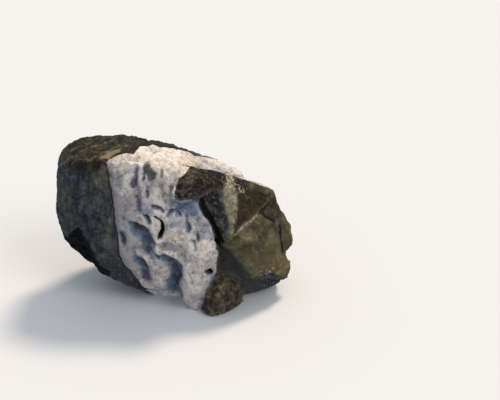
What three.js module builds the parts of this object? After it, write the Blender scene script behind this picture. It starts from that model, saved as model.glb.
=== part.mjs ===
// A leopard stone as one solid: dark rock with a pale, chalky band across it.
// Millimetres. X runs along the stone, Y to its back and Z up. The stone rests on z = 0.
import * as THREE from "three";
import { ConvexHull } from "three/addons/math/ConvexHull.js";
import { ImprovedNoise } from "three/addons/math/ImprovedNoise.js";

const { clamp, smoothstep } = THREE.MathUtils;

// The size of the stone: at 1 it is 200 mm long.
const stoneScale = 1;

// The fineness of the mesh: the spacing of the points the shape is sampled at, in a room that
// holds the whole stone, and the number of triangles that are kept.
const cellSize = 2.2;
const triangleCount = 9400;
const fillDepth = 0.3;
const room = { low: [-106, -74, -6], high: [106, 66, 146] };

// The stone is a heap of blunt blocks grown together. Each block is the convex solid on its
// corner points, and edge is how far its edges are rounded over. The first two are the inside.
const blocks = {
  core: {
    edge: 6,
    corners: [
      [-58, -26, 42], [-33, -32, 13], [60, -14, 8], [76, -4, 24], [82, 6, 56], [66, 10, 84],
      [30, 14, 104], [-10, 20, 118], [-14, -8, 118], [-60, 22, 122], [-34, -20, 118], [-88, 16, 96],
      [-90, 14, 60], [-76, 14, 36], [-50, 30, -6], [-38, -5, -6], [6, -27, -6], [56, -20, -6],
      [66, 22, -6], [24, 44, -6], [-62, 44, 34], [-70, 44, 90], [-20, 52, 98], [30, 46, 84],
      [66, 30, 56], [62, 36, 18],
    ],
  },
  heart: {
    edge: 4,
    corners: [
      [16, -36, 94], [28, -31, 95], [35, -35, 68], [30, -36, 32], [14, -38, -6], [40, -36, -6],
      [62, -18, 82], [80, -12, 62], [84, -12, 28], [54, -36, 34], [30, 20, 100], [70, 16, 80],
      [20, 20, 4], [78, 10, 14], [4, -10, 70], [2, -20, 6],
    ],
  },
  darkSlab: {
    edge: 2.5,
    corners: [
      [-90, -30, 121], [-79, -36, 124], [-69, -40, 129], [-49, -45, 132], [-93, -26, 93],
      [-94, -25, 70], [-77, -41, 71], [-92, -16, 47], [-61, -45, 42], [-43, -47, 43],
      [-42, -49, 73], [-89, -2, 124], [-83, 0, 128], [-77, 3, 131], [-67, 7, 131], [-51, 8, 132],
      [-45, 8, 130], [-30, 8, 129], [-96, -4, 99], [-98, 2, 64], [-87, -10, 32], [-72, -13, 21],
      [-61, -20, 25], [-52, -24, 20], [-41, -29, 18], [-29, -36, 11], [-26, -42, 124],
      [-92, 16, 104], [-98, 10, 66], [-20, 10, 127], [-24, 10, 4], [-60, 16, 14], [-80, 30, 96],
      [-34, 34, 104],
    ],
  },
  chalk: {
    edge: 3,
    corners: [
      [-48, -47, 132], [-46, -50, 109], [-43, -52, 67], [-42, -50, 44], [-36, -48, 39],
      [-26, -41, 17], [-7, -46, 18], [7, -49, 15], [-25, -54, 82], [-8, -56, 97], [1, -57, 91],
      [-3, -59, 60], [14, -60, 60], [14, -52, 96], [25, -53, 84], [34, -55, 70], [-45, -40, 133],
      [-34, -34, 133], [-15, -50, 130], [0, -50, 128], [10, -50, 117], [5, -14, 128],
      [19, -10, 117], [-40, 0, 130], [-10, 4, 128], [20, 4, 112], [-24, 0, 6], [20, -10, 10],
    ],
  },
  toe: {
    edge: 2.5,
    corners: [
      [10, -57, 48], [15, -60, 64], [27, -59, 69], [38, -58, 63], [37, -58, 48], [33, -57, 33],
      [28, -55, 21], [24, -53, 7], [21, -52, 4], [14, -49, 4], [8, -47, 8], [23, -66, 53],
      [20, -64, 30], [18, -57, 13], [20, -48, -6], [12, -45, -6], [6, -30, -6], [28, -30, -6],
      [26, -30, 60],
    ],
  },
  topKnobs: {
    edge: 3,
    corners: [
      [-45, -38, 133], [-39, -33, 133], [-28, -30, 132], [-20, -20, 136], [-12, -22, 133],
      [-8, -46, 129], [-24, -44, 129], [-5, -16, 131], [5, -18, 129], [5, -44, 125],
      [-30, -20, 120], [4, -14, 116],
    ],
  },
  topBand: {
    edge: 3,
    corners: [
      [-21, 2, 128], [-14, 6, 127], [-5, 8, 124], [3, 9, 118], [13, 9, 111], [26, 9, 105],
      [38, 8, 102], [48, 5, 105], [54, 1, 105], [62, -6, 94], [47, -14, 106], [29, -20, 113],
      [15, -26, 116], [-20, -10, 110], [50, 20, 90], [20, 26, 96], [-6, 30, 112], [60, 0, 80],
    ],
  },
  oliveTop: {
    edge: 1.2,
    corners: [
      [16, -26, 116], [29, -20, 112], [47, -14, 105], [63, -8, 95], [73, -6, 94], [80, -5, 89],
      [84, -6, 86], [85, -6, 74], [40, -39, 105], [41, -43, 97], [43, -47, 88], [47, -51, 81],
      [48, -55, 69], [43, -52, 66], [52, -32, 103], [67, -20, 94], [78, -17, 82], [73, -26, 78],
      [24, -35, 95], [28, -38, 80], [33, -40, 71], [39, -43, 62], [30, 0, 90], [76, 10, 80],
      [50, -10, 60],
    ],
  },
  oliveRight: {
    edge: 1.2,
    corners: [
      [77, -16, 81], [85, -6, 74], [90, -8, 66], [94, -9, 61], [98, -11, 56], [100, -12, 48],
      [99, -12, 41], [96, -12, 37], [91, -14, 32], [85, -28, 53], [75, -27, 77], [59, -47, 63],
      [60, 0, 60], [84, 14, 60], [88, 10, 36], [70, -10, 30],
    ],
  },
  oliveFoot: {
    edge: 1,
    corners: [
      [41, -54, 65], [48, -56, 58], [55, -56, 49], [65, -54, 32], [70, -50, 31], [81, -41, 31],
      [89, -32, 21], [93, -26, 16], [96, -20, 21], [96, -18, 26], [93, -16, 32], [50, -55, 70],
      [73, -27, 77], [85, -30, 54], [60, -10, 40], [80, 0, 30], [50, -20, 50],
    ],
  },
  under: {
    edge: 1.2,
    corners: [
      [40, -50, 61], [48, -52, 54], [55, -52, 45], [65, -51, 32], [36, -42, 51], [34, -42, 40],
      [32, -42, 28], [48, -42, 22], [80, -37, 28], [89, -26, 18], [90, -20, 14], [57, -17, -6],
      [66, -11, -6], [76, -4, -6], [82, 0, 0], [87, -2, 22], [80, 14, -6], [26, -30, -6],
      [36, -20, 50], [60, 10, 40], [78, -26, 8],
    ],
  },
  nose: {
    edge: 1.6,
    corners: [
      [14, -30, 118], [9, -40, 120], [6, -47, 118], [4, -54, 114], [3, -58, 110], [4, -59, 105],
      [9, -60, 103], [18, -59, 104], [24, -54, 104], [32, -43, 105], [38, -36, 108], [26, -24, 114],
      [19, -54, 119], [13, -58, 116], [20, -20, 96], [30, -20, 100],
    ],
  },
  heel: {
    edge: 2,
    corners: [
      [27, -54, 26], [34, -52, 40], [25, -52, 6], [42, -52, 25], [39, -52, 6], [20, -40, -6],
      [44, -40, -6], [30, -20, 30],
    ],
  },
  lump: {
    edge: 2,
    corners: [
      [34, -46, 31], [40, -46, 32], [48, -48, 31], [54, -46, 23], [57, -42, 14], [58, -40, 6],
      [53, -44, -1], [44, -55, -1], [31, -62, 3], [25, -56, 5], [26, -56, 12], [30, -54, 24],
      [42, -62, 27], [36, -66, 18], [45, -62, 15], [43, -53, -6], [31, -59, -6], [26, -52, -6],
      [51, -38, -6], [28, -30, -6], [22, -36, 30], [50, -26, 20],
    ],
  },
};

// Pieces broken away from the heap, also convex. The points far in front or behind only carry
// the break out of the stone.
const breaks = {
  facet: {
    edge: 0.6,
    corners: [
      [53, -33, 102], [50, -42, 93], [50, -48, 74], [52, -48, 69], [73, -24, 78], [77, -16, 82],
      [73, -14, 89], [65, -20, 95], [54, -100, 134], [50, -100, 121], [50, -100, 99],
      [53, -100, 94], [73, -100, 113], [77, -100, 121], [72, -100, 129], [65, -100, 132],
    ],
  },
  notch: {
    edge: 0.8,
    corners: [
      [-77, -44, 78], [-93, -18, 47], [-59, -48, 42], [-68, -100, 106], [-80, -100, 89],
      [-52, -100, 69], [-86, 0, 25], [-73, -4, 16], [-71, -100, 51], [-88, -100, 70], [-84, 0, 20],
      [-66, 0, 10],
    ],
  },
  backChip: {
    edge: 1,
    corners: [
      [-30, 70, 140], [40, 70, 130], [-34, 34, 122], [30, 38, 112], [-36, 70, 84], [34, 64, 78],
      [0, 53, 86],
    ],
  },
  backCorner: {
    edge: 1,
    corners: [
      [-110, 60, 110], [-110, 10, 112], [-60, 70, 110], [-84, 32, 112], [-92, 40, 56],
      [-62, 56, 60], [-110, 60, 50], [-60, 80, 50],
    ],
  },
  rightChip: {
    edge: 1,
    corners: [
      [110, 10, 100], [60, 60, 100], [110, 40, 30], [100, 2, 66], [80, 16, 84], [60, 38, 76],
      [78, 28, 34], [110, 60, 90],
    ],
  },
};

// How far the blocks are grown before they join, how soft a join is, and how soft the edge of the
// flat underside is.
const skin = 1.6;
const joinWidth = 2;
const groundEdge = 1.5;

// Hollows worn into the front of the pale band, and with a depth below zero the ridges between
// them. Each follows a line of x, z points and reaches to the left and right of that line.
const carvings = [
  // The crack along the left edge of the band.
  {
    line: [
      [-49, 133], [-48, 120], [-47, 108], [-45, 95], [-44, 71], [-44, 55],
      [-40, 42], [-34, 29], [-27, 12],
    ],
    left: 2.6, right: 4, deep: 1.6,
  },
  // A flute and a groove beside it, down from the top edge.
  { line: [[-27, 129], [-26, 112], [-25, 94]], left: 4, right: 2.6, deep: 2.6 },
  { line: [[-19, 129], [-19, 118]], left: 2.6, right: 2.2, deep: 2 },
  // A shallow valley under the knobs.
  { line: [[-6, 113], [-4, 96]], left: 6, right: 6, deep: 2.4 },
  // A wavy lip, steep above.
  { line: [[8, 90], [5, 95], [0, 92], [-5, 92], [-12, 97]], left: 3.4, right: 1.8, deep: 2.6 },
  // A small hole and a crooked slit.
  { line: [[-18, 89], [-17, 82]], left: 2.4, right: 2.4, deep: 3 },
  { line: [[-12, 86], [-7, 84], [-6, 77], [-9, 70]], left: 2.6, right: 2.2, deep: 4 },
  // The big scoop left of the slit.
  { line: [[-24, 77], [-19, 70], [-17, 59]], left: 11, right: 3.6, deep: 5.4 },
  // Two hollows near the left edge.
  { line: [[-39, 71], [-39, 63]], left: 3, right: 2.6, deep: 3 },
  { line: [[-23, 44], [-22, 30]], left: 6, right: 4, deep: 3.2 },
  // The long hollow beside the toe.
  { line: [[2, 50], [5, 36], [3, 15]], left: 11, right: 3.6, deep: 5.6 },
  // Short flutes on the right.
  { line: [[13, 88], [15, 76]], left: 2.6, right: 2.2, deep: 2.4 },
  { line: [[21, 74], [20, 61]], left: 3, right: 3, deep: 1.6 },
  // A hole in the toe.
  { line: [[31, 41], [31, 37]], left: 3, right: 3, deep: 5 },
  // The bay under the nose.
  { line: [[12, 95], [26, 78]], left: 7, right: 7, deep: 2.2 },
  // Ridges: the finger beside the scoop, the lip under it, and the crest down to the toe.
  { line: [[-15, 84], [-14, 74], [-11, 65]], left: 3.2, right: 3.2, deep: -2.6 },
  { line: [[-14, 60], [-9, 55], [-1, 55]], left: 4, right: 4, deep: -2.6 },
  { line: [[-1, 55], [9, 48], [11, 31], [11, 9]], left: 5, right: 6, deep: -3 },
  // Two broad swells.
  { line: [[-34, 88], [-34, 59]], left: 5, right: 6, deep: -1.8 },
  { line: [[-11, 47], [-12, 22]], left: 7, right: 6, deep: -2.2 },
];
const carvedFront = { from: -24, full: -36 };

// The dark rock splits in layers that lie parallel to the left edge of the pale band. They end in
// small ledges, strong on the top and back of the stone and faint on its smooth front.
const layers = {
  normal: new THREE.Vector3(-0.68, 0.73, -0.07).normalize(),
  spacing: { mean: 13, spread: 14, over: 22 },
  bend: { by: 6.5, over: 40 },
  height: { least: 0.6, spread: 2.9, over: 60 },
  riserShare: 0.2,
  faintShare: 0.2,
  start: new THREE.Vector3(-46, -46, 130),
  fadeIn: { from: 0, full: 6 },
  top: { from: 116, full: 128 },
  back: { from: -10, full: 20 },
};

// Rounded knobs over the top edge of the pale band, with creases between them.
const knobs = {
  size: 14,
  height: 6,
  sink: 1.2,
  fromBand: { from: 0, full: 5 },
  bottom: { from: 98, full: 114 },
  back: { from: 12, full: 2 },
  right: { from: 24, full: 14 },
};

// The unevenness of all the rock: each row is a wavelength and how far it moves the surface. The
// start picks the place in the noise, so another start gives another unevenness.
const wobbles = [[46, 1.6], [17, 1.2], [7.5, 0.7]];
const wobbleStart = [11, 5, 3];

const noise = new ImprovedNoise();

// The larger of two distances, with the crease between them rounded over a width.
function smoothMax(a, b, width) {
  const overlap = Math.max(width - Math.abs(a - b), 0) / width;
  return Math.max(a, b) + (overlap * overlap * width) / 4;
}

const smoothMin = (a, b, width) => -smoothMax(-a, -b, width);

// Fades from 0 to 1 between two values, the second of which may be the lower one.
function fade(value, { from, full }) {
  const way = Math.sign(full - from);
  return smoothstep(value * way, from * way, full * way);
}

// How near two faces of a block lie to one plane when they count as one.
const sameFace = { cosine: 0.999, gap: 1 };

// The flat faces of a block, each as a normal and its distance from the origin.
function facesOf({ corners, edge }) {
  const hull = new ConvexHull().setFromPoints(corners.map((c) => new THREE.Vector3(...c)));
  const faces = [];
  for (const { normal, constant } of hull.faces) {
    const known = faces.some((face) => {
      return face.normal.dot(normal) > sameFace.cosine && Math.abs(face.constant - constant) < sameFace.gap;
    });
    if (!known) faces.push({ normal: normal.clone(), constant });
  }
  return { faces, edge };
}

const solids = Object.values(blocks).map(facesOf);
const gaps = Object.values(breaks).map(facesOf);

function distanceToBlock({ faces, edge }, p) {
  let distance = -1e9;
  for (const { normal, constant } of faces) {
    distance = smoothMax(distance, normal.dot(p) - constant, edge);
  }
  return distance;
}

// How deep the carvings go at a point on the front. A carving is deepest on its line and runs out
// smoothly at its reach, so a short reach on one side makes that side steep.
function carvedDepth({ x, y, z }) {
  if (y > carvedFront.from) return 0;
  let depth = 0;
  for (const { line, left, right, deep } of carvings) {
    let nearest = 1e9;
    let reach = left;
    for (let n = 1; n < line.length; n++) {
      const [ax, az] = line[n - 1];
      const [bx, bz] = line[n];
      const length = Math.hypot(bx - ax, bz - az);
      const along = ((x - ax) * (bx - ax) + (z - az) * (bz - az)) / length ** 2;
      const t = clamp(along, 0, 1);
      const gap = Math.hypot(x - ax - t * (bx - ax), z - az - t * (bz - az));
      if (gap >= nearest) continue;
      nearest = gap;
      reach = (bx - ax) * (z - az) > (bz - az) * (x - ax) ? right : left;
    }
    if (nearest < reach) depth += deep * (1 - (nearest / reach) ** 2) ** 2;
  }
  return depth * fade(y, carvedFront);
}

// How far a point lies on the dark side of the pale band's left edge.
const beyondBand = (p) => layers.normal.dot(p) - layers.normal.dot(layers.start);

// Noise from -1 to 1 that changes over a length.
function noiseOver({ x, y, z }, length, [startX, startY, startZ] = [0, 0, 0]) {
  return noise.noise(x / length + startX, y / length + startY, z / length + startZ);
}

// How far the ledges set the surface back. Each layer rises slowly to its edge and drops there.
function ledgeDepth(p) {
  const beyond = beyondBand(p);
  if (beyond < 0) return 0;
  const { spacing, bend, height, riserShare } = layers;
  const uneven = spacing.spread * noise.noise(beyond / spacing.over, 4.5, 0.5);
  const place = (beyond + uneven + bend.by * noiseOver(p, bend.over)) / spacing.mean;
  const part = place - Math.floor(place);
  const climb = part < 1 - riserShare ? part / (1 - riserShare) : (1 - part) / riserShare;
  const rise = height.least + height.spread * Math.abs(noiseOver(p, height.over));
  const shown = Math.max(layers.faintShare, fade(p.z, layers.top), fade(p.y, layers.back));
  return rise * shown * (climb - 0.5) * fade(beyond, layers.fadeIn);
}

function knobHeight(p) {
  const acrossTop = fade(-beyondBand(p), knobs.fromBand) * fade(p.x, knobs.right);
  const shown = acrossTop * fade(p.z, knobs.bottom) * fade(p.y, knobs.back);
  return shown * (knobs.height * Math.abs(noiseOver(p, knobs.size)) - knobs.sink);
}

function wobble(p) {
  let sum = 0;
  for (const [wavelength, height] of wobbles) {
    sum += height * noiseOver(p, wavelength, wobbleStart);
  }
  return sum;
}

// How far a point lies outside the rock, and below zero inside it.
function distanceToRock(p) {
  let distance = 1e9;
  for (const solid of solids) distance = smoothMin(distance, distanceToBlock(solid, p), joinWidth);
  for (const gap of gaps) distance = smoothMax(distance, -distanceToBlock(gap, p), joinWidth);
  const rough = distance - skin + carvedDepth(p) + ledgeDepth(p) - knobHeight(p) + wobble(p);
  return smoothMax(rough, -p.z, groundEdge);
}

// The eight corners of a grid cell, as steps along x, y and z.
const cellCorners = [...Array(8).keys()].map((c) => [c & 1, (c >> 1) & 1, c >> 2]);

// Samples the distance on a grid over the room.
function sampleGrid() {
  const counts = room.low.map((low, axis) => Math.ceil((room.high[axis] - low) / cellSize) + 1);
  const steps = [1, counts[0], counts[0] * counts[1]];
  const values = new Float32Array(counts[0] * counts[1] * counts[2]);
  for (let n = 0; n < values.length; n++) {
    const place = steps.map((step, axis) => Math.floor(n / step) % counts[axis]);
    const at = place.map((count, axis) => room.low[axis] + count * cellSize);
    values[n] = distanceToRock(new THREE.Vector3(...at));
  }
  return { counts, steps, values };
}

// Makes a grid point solid, just under the surface.
function fill(values, n) {
  values[n] = Math.min(values[n], -fillDepth);
}

// Makes solid the grid points where two parts of the stone would only touch along an edge or at a
// corner, so that the surface never passes twice through one place.
function closePinches({ steps, values }) {
  const [sx, sy, sz] = steps;
  const squares = [[sx, sy], [sy, sz], [sx, sz]];
  const cellSteps = cellCorners.map(([a, b, c]) => a * sx + b * sy + c * sz);
  for (let found = true; found; ) {
    found = false;
    for (let n = 0; n < values.length - sx - sy - sz; n++) {
      for (const [u, v] of squares) {
        const ring = [n, n + u, n + u + v, n + v];
        const [a, b, c, d] = ring.map((m) => values[m] < 0);
        if (a !== c || b !== d || a === b) continue;
        for (const m of ring) fill(values, m);
        found = true;
      }
      const cell = cellSteps.map((step) => n + step);
      const inside = cell.filter((m) => values[m] < 0);
      const outside = cell.filter((m) => values[m] >= 0);
      const pair = inside.length === 2 ? inside : outside;
      if (pair.length !== 2 || cell.indexOf(pair[0]) + cell.indexOf(pair[1]) !== 7) continue;
      for (const m of cell) fill(values, m);
      found = true;
    }
  }
}

// Makes solid every grid point that can't be reached from outside the stone.
function fillCavities({ counts, steps, values }) {
  const reached = new Uint8Array(values.length);
  const waiting = [0];
  reached[0] = 1;
  while (waiting.length) {
    const n = waiting.pop();
    for (let axis = 0; axis < 3; axis++) {
      const place = Math.floor(n / steps[axis]) % counts[axis];
      for (const way of [-1, 1]) {
        const next = n + way * steps[axis];
        const inRoom = place + way >= 0 && place + way < counts[axis];
        if (!inRoom || reached[next] || values[next] < 0) continue;
        reached[next] = 1;
        waiting.push(next);
      }
    }
  }
  for (let n = 0; n < values.length; n++) if (!reached[n]) fill(values, n);
}

// Wraps the zero surface of the grid in a mesh of surface nets: one vertex in each cell that the
// surface crosses, and two triangles across each grid edge that it crosses.
function surfaceNets({ counts, steps, values }) {
  const vertexOf = new Map();
  const positions = [];
  const triangles = [];
  const cellEdges = [];
  for (let a = 0; a < 8; a++) {
    for (const bit of [1, 2, 4]) if (!(a & bit)) cellEdges.push([a, a | bit]);
  }
  const indexOf = (place) => place[0] + place[1] * steps[1] + place[2] * steps[2];
  const vertexIn = (place) => {
    const cell = indexOf(place);
    if (vertexOf.has(cell)) return vertexOf.get(cell);
    const at = cellCorners.map((corner) => values[cell + indexOf(corner)]);
    const sum = [0, 0, 0];
    let crossings = 0;
    for (const [a, b] of cellEdges) {
      if (at[a] < 0 === at[b] < 0) continue;
      const t = at[a] / (at[a] - at[b]);
      for (let axis = 0; axis < 3; axis++) {
        sum[axis] += cellCorners[a][axis] + t * (cellCorners[b][axis] - cellCorners[a][axis]);
      }
      crossings++;
    }
    vertexOf.set(cell, positions.length);
    positions.push(place.map((n, axis) => room.low[axis] + (n + sum[axis] / crossings) * cellSize));
    return positions.length - 1;
  };
  for (let k = 1; k < counts[2] - 1; k++) {
    for (let j = 1; j < counts[1] - 1; j++) {
      for (let i = 1; i < counts[0] - 1; i++) {
        const n = indexOf([i, j, k]);
        for (let axis = 0; axis < 3; axis++) {
          const inside = values[n] < 0;
          if (inside === values[n + steps[axis]] < 0) continue;
          const u = (axis + 1) % 3;
          const v = (axis + 2) % 3;
          const ring = [[0, 0], [-1, 0], [-1, -1], [0, -1]].map(([du, dv]) => {
            const place = [i, j, k];
            place[u] += du;
            place[v] += dv;
            return vertexIn(place);
          });
          if (!inside) ring.reverse();
          triangles.push([ring[0], ring[1], ring[2]], [ring[0], ring[2], ring[3]]);
        }
      }
    }
  }
  return { positions, triangles };
}

// A list that gives back its cheapest entry first.
class Heap {
  entries = [];

  swap(i, j) {
    [this.entries[i], this.entries[j]] = [this.entries[j], this.entries[i]];
  }

  push(entry) {
    this.entries.push(entry);
    let i = this.entries.length - 1;
    while (i > 0) {
      const parent = (i - 1) >> 1;
      if (this.entries[parent].cost <= entry.cost) return;
      this.swap(i, parent);
      i = parent;
    }
  }

  pop() {
    const size = this.entries.length - 1;
    this.swap(0, size);
    const cheapest = this.entries.pop();
    let i = 0;
    while (true) {
      let least = i;
      for (const child of [2 * i + 1, 2 * i + 2]) {
        if (child < size && this.entries[child].cost < this.entries[least].cost) least = child;
      }
      if (least === i) return cheapest;
      this.swap(i, least);
      i = least;
    }
  }
}

const subtract = (a, b) => a.map((n, i) => n - b[i]);

// The normal of a triangle, as long as twice its area.
function crossOf(a, b, c) {
  const [ux, uy, uz] = subtract(b, a);
  const [vx, vy, vz] = subtract(c, a);
  return [uy * vz - uz * vy, uz * vx - ux * vz, ux * vy - uy * vx];
}

// The ten numbers that give a point's squared distance to a triangle's plane, times its area.
function quadricOf(a, b, c) {
  const cross = crossOf(a, b, c);
  const size = Math.hypot(...cross);
  const [x, y, z] = cross.map((n) => n / size);
  const w = -(x * a[0] + y * a[1] + z * a[2]);
  return [x * x, x * y, x * z, x * w, y * y, y * z, y * w, z * z, z * w, w * w].map((n) => n * size);
}

function costAt(q, [x, y, z]) {
  const squares = q[0] * x * x + q[4] * y * y + q[7] * z * z;
  const mixed = q[1] * x * y + q[2] * x * z + q[5] * y * z + q[3] * x + q[6] * y + q[8] * z;
  return squares + 2 * mixed + q[9];
}

// The cheapest place for the vertex that an edge shrinks to: an end, the middle or the point that
// lies closest to all the planes around the edge.
function bestPlace(q, a, b) {
  const middle = a.map((n, i) => (n + b[i]) / 2);
  const choices = [a, b, middle];
  const matrix = new THREE.Matrix3().set(q[0], q[1], q[2], q[1], q[4], q[5], q[2], q[5], q[7]);
  const size = q[0] + q[4] + q[7];
  const planesMeet = matrix.determinant() > 1e-4 * size ** 3;
  if (planesMeet) {
    const closest = new THREE.Vector3(-q[3], -q[6], -q[8]).applyMatrix3(matrix.invert()).toArray();
    const reach = 1.5 * Math.hypot(...subtract(a, b));
    if (Math.hypot(...subtract(closest, middle)) < reach) choices.push(closest);
  }
  const costs = choices.map((at) => costAt(q, at));
  const cost = Math.min(...costs);
  return { at: choices[costs.indexOf(cost)], cost };
}

// What thinning holds to: how much a long edge costs, how far a triangle may turn, in radians,
// and the least that twice its area may be.
const lengthCost = 1e-4;
const mostTurn = 1.25;
const leastArea = 0.05;

// Thins a closed mesh to a number of triangles by shrinking its cheapest edges to points, so that
// flat faces keep few triangles and edges and hollows keep many.
function thinMesh({ positions, triangles }, wanted) {
  const facesAt = positions.map(() => new Set());
  triangles.forEach((t, f) => t.forEach((v) => facesAt[v].add(f)));
  const quadrics = positions.map(() => Array(10).fill(0));
  for (const t of triangles) {
    const q = quadricOf(...t.map((v) => positions[v]));
    for (const v of t) quadrics[v] = quadrics[v].map((n, i) => n + q[i]);
  }
  const neighboursOf = (v) => {
    const found = new Set();
    for (const f of facesAt[v]) triangles[f].forEach((n) => found.add(n));
    found.delete(v);
    return found;
  };
  // An edge in the heap is stale once either of its ends has moved.
  const moves = positions.map(() => 0);
  const heap = new Heap();
  const offer = (a, b) => {
    const joined = quadrics[a].map((n, i) => n + quadrics[b][i]);
    const { at, cost } = bestPlace(joined, positions[a], positions[b]);
    const length = Math.hypot(...subtract(positions[a], positions[b]));
    heap.push({ a, b, at, cost: cost + lengthCost * length ** 2, moved: moves[a] + moves[b] });
  };
  // Whether the triangles on a vertex keep their side and some area when it moves.
  const staysSound = (v, other, at) => {
    for (const f of facesAt[v]) {
      if (triangles[f].includes(other)) continue;
      const corners = triangles[f].map((n) => positions[n]);
      const moved = triangles[f].map((n) => (n === v ? at : positions[n]));
      const before = new THREE.Vector3(...crossOf(...corners));
      const after = new THREE.Vector3(...crossOf(...moved));
      if (after.length() < leastArea || before.angleTo(after) > mostTurn) return false;
    }
    return true;
  };
  positions.forEach((_, v) => neighboursOf(v).forEach((n) => v < n && offer(v, n)));
  let left = triangles.length;
  while (left > wanted) {
    const { a, b, at, moved } = heap.pop();
    if (!facesAt[a] || !facesAt[b] || moved !== moves[a] + moves[b]) continue;
    const around = neighboursOf(b);
    const shared = [...neighboursOf(a)].filter((n) => around.has(n));
    if (!around.has(a) || shared.length !== 2) continue;
    if (!staysSound(a, b, at) || !staysSound(b, a, at)) continue;
    for (const f of [...facesAt[b]]) {
      if (triangles[f].includes(a)) {
        triangles[f].forEach((n) => facesAt[n].delete(f));
        triangles[f] = null;
        left--;
      } else {
        triangles[f] = triangles[f].map((n) => (n === b ? a : n));
        facesAt[a].add(f);
      }
    }
    facesAt[b] = null;
    positions[a] = at;
    quadrics[a] = quadrics[a].map((n, i) => n + quadrics[b][i]);
    moves[a]++;
    for (const n of neighboursOf(a)) offer(a, n);
  }
  return { positions, triangles: triangles.filter(Boolean) };
}

function toGeometry({ positions, triangles }) {
  const used = new Map();
  const coordinates = [];
  const index = triangles.flat().map((v) => {
    if (!used.has(v)) {
      used.set(v, used.size);
      coordinates.push(...positions[v].map((n) => n * stoneScale));
    }
    return used.get(v);
  });
  const geometry = new THREE.BufferGeometry();
  geometry.setAttribute("position", new THREE.Float32BufferAttribute(coordinates, 3));
  geometry.setIndex(index);
  geometry.computeVertexNormals();
  return geometry;
}

const grid = sampleGrid();
closePinches(grid);
fillCavities(grid);
const stone = new THREE.Mesh(
  toGeometry(thinMesh(surfaceNets(grid), triangleCount)),
  new THREE.MeshStandardMaterial({ color: 0x6b675a, roughness: 0.9, metalness: 0, flatShading: true }),
);
stone.name = "stone";

const leopardStone = new THREE.Group();
leopardStone.add(stone);

export default leopardStone;
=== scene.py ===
# A leopard stone: dark layered rock with a pale, pitted chalk band across it and broken olive
# rock on its right. Shapes are worked out in millimetres and written to the mesh in metres.
import math

import bpy
import numpy as np
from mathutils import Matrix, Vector, noise


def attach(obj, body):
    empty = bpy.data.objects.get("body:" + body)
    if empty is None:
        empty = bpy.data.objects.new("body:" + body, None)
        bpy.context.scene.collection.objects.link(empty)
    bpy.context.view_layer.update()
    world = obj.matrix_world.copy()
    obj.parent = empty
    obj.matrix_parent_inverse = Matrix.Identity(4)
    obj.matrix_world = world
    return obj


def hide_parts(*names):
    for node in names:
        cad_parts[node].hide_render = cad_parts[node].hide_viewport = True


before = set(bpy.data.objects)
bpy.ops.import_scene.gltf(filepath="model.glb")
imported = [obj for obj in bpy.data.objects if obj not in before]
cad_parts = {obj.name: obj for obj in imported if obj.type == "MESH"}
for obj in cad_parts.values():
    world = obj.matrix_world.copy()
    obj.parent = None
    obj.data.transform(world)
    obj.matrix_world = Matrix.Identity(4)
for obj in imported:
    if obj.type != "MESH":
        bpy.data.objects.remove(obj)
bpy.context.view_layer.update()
print("frame loaded")

millimetre = 0.001


def bakeModifier(obj, kind, **settings):
    modifier = obj.modifiers.new(kind.lower(), kind)
    for name, value in settings.items():
        setattr(modifier, name, value)
    evaluated = obj.evaluated_get(bpy.context.evaluated_depsgraph_get())
    oldMesh = obj.data
    obj.data = bpy.data.meshes.new_from_object(evaluated)
    obj.modifiers.clear()
    bpy.data.meshes.remove(oldMesh)


def readPoints(mesh):
    flat = np.empty(len(mesh.vertices) * 3)
    mesh.vertices.foreach_get("co", flat)
    return flat.reshape(-1, 3) / millimetre


def writePoints(mesh, points):
    mesh.vertices.foreach_set("co", (points * millimetre).ravel())
    mesh.update()


def readNormals(mesh):
    flat = np.empty(len(mesh.vertices) * 3)
    mesh.vertices.foreach_get("normal", flat)
    return flat.reshape(-1, 3)


def readEdges(mesh):
    flat = np.empty(len(mesh.edges) * 2, dtype=np.int32)
    mesh.edges.foreach_get("vertices", flat)
    return flat.reshape(-1, 2)


def neighbourMean(values, edges):
    count = len(values)
    a, b = edges[:, 0], edges[:, 1]
    links = np.bincount(a, minlength=count) + np.bincount(b, minlength=count)
    columns = []
    for column in values.reshape(count, -1).T:
        total = np.bincount(a, column[b], count) + np.bincount(b, column[a], count)
        columns.append(total / links)
    return np.stack(columns, axis=1).reshape(values.shape)


relaxSteps = (0.6, -0.62)  # each round goes in and then a little further out
seedStep = 13.7  # how far apart two seeds lie in the noise
cellSeedStep = 7.3


# Evens out the surface without shrinking it.
def relax(points, edges, amount, rounds):
    amount = np.broadcast_to(amount, len(points))[:, None]
    for _ in range(rounds):
        for step in relaxSteps:
            points = points + step * amount * (neighbourMean(points, edges) - points)
    return points


# Rounds the surface off: every point moves by this share towards the middle of its neighbours.
def roundOff(points, edges, share, rounds):
    for _ in range(rounds):
        points = points + share * (neighbourMean(points, edges) - points)
    return points


def smoothStep(values, low, high):
    part = np.clip((values - low) / (high - low), 0, 1)
    return part * part * (3 - 2 * part)


def softNoise(points, size, seed, octaves=2):
    places = points / size + seed * seedStep
    return np.array([noise.fractal(place, 1.0, 2.0, octaves) for place in places])


# For pits and broken faces: how far each point is from the nearest cell centre and from the
# second nearest, and that centre, all counted in cells.
def cells(points, size, seed):
    nearest = np.empty(len(points))
    second = np.empty(len(points))
    centres = np.empty((len(points), 3))
    for n, place in enumerate(points / size + seed * cellSeedStep):
        distances, places = noise.voronoi(place)
        nearest[n] = distances[0]
        second[n] = distances[1]
        centres[n] = places[0]
    return nearest, second, centres


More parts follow.
